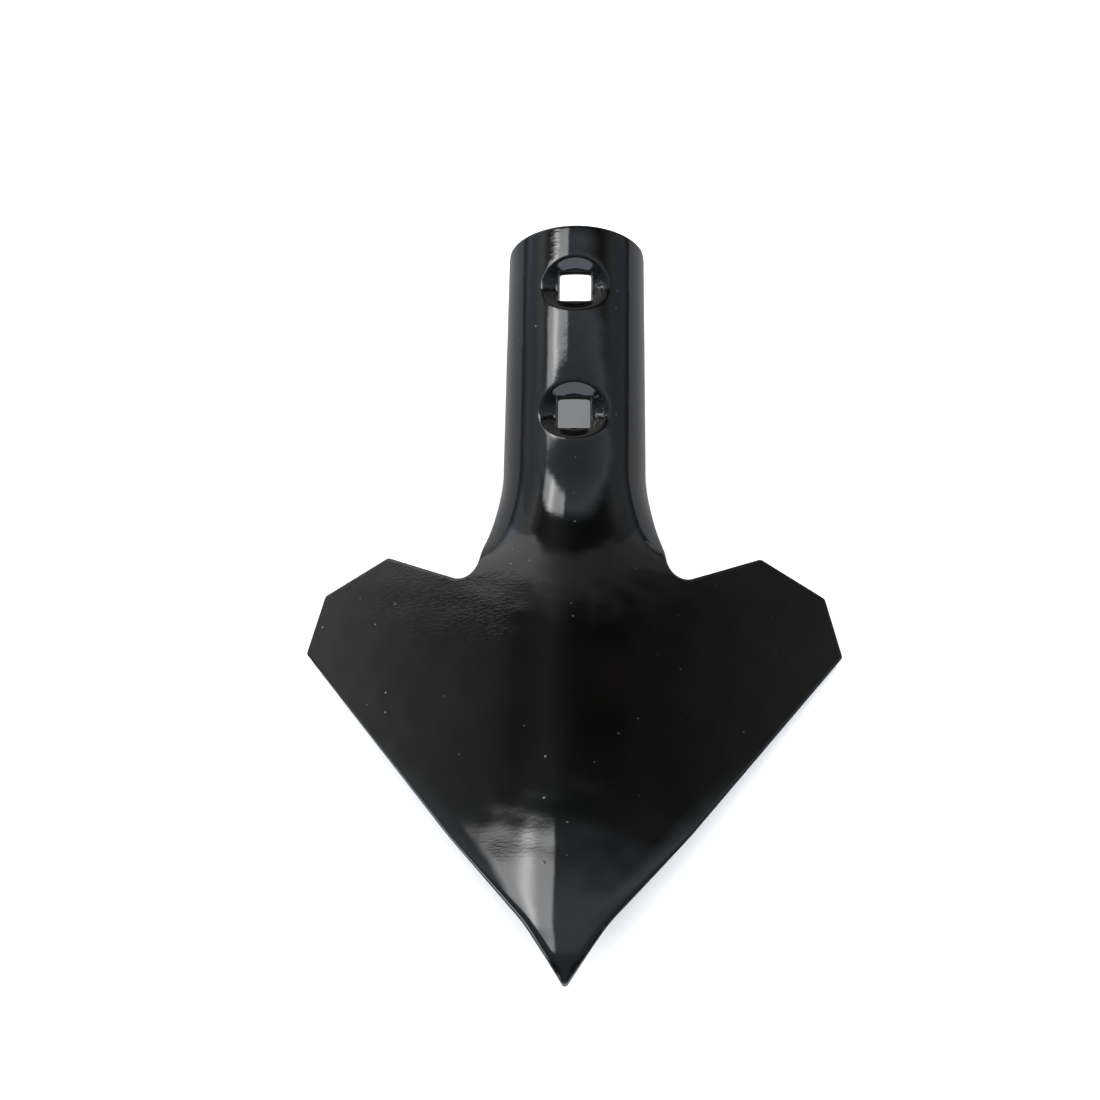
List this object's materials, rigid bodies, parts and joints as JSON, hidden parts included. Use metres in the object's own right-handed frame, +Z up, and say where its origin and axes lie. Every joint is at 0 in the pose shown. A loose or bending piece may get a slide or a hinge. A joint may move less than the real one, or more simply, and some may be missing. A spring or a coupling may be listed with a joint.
{
  "type": "cultivator sweep",
  "caption": "Pressed-steel cultivator sweep: heart-shaped blade with a pointed nose, swept wings and a half-round bolt-on neck with countersunk square holes.",
  "frame": {"origin": "middle of the share's box on the plane it lies on: it rests on its two wing ends, outer face up", "axes": "+Y from the nose towards the neck end, +Z up out of the outer face, +X across the wings; X = 0 is the plane of symmetry"},
  "size_m": [0.211, 0.3092, 0.0596],
  "materials": {
    "gloss_black_paint": "gloss"
  },
  "bodies": {
    "root": {"sweep_share": "gloss_black_paint"}
  },
  "joints": []
}
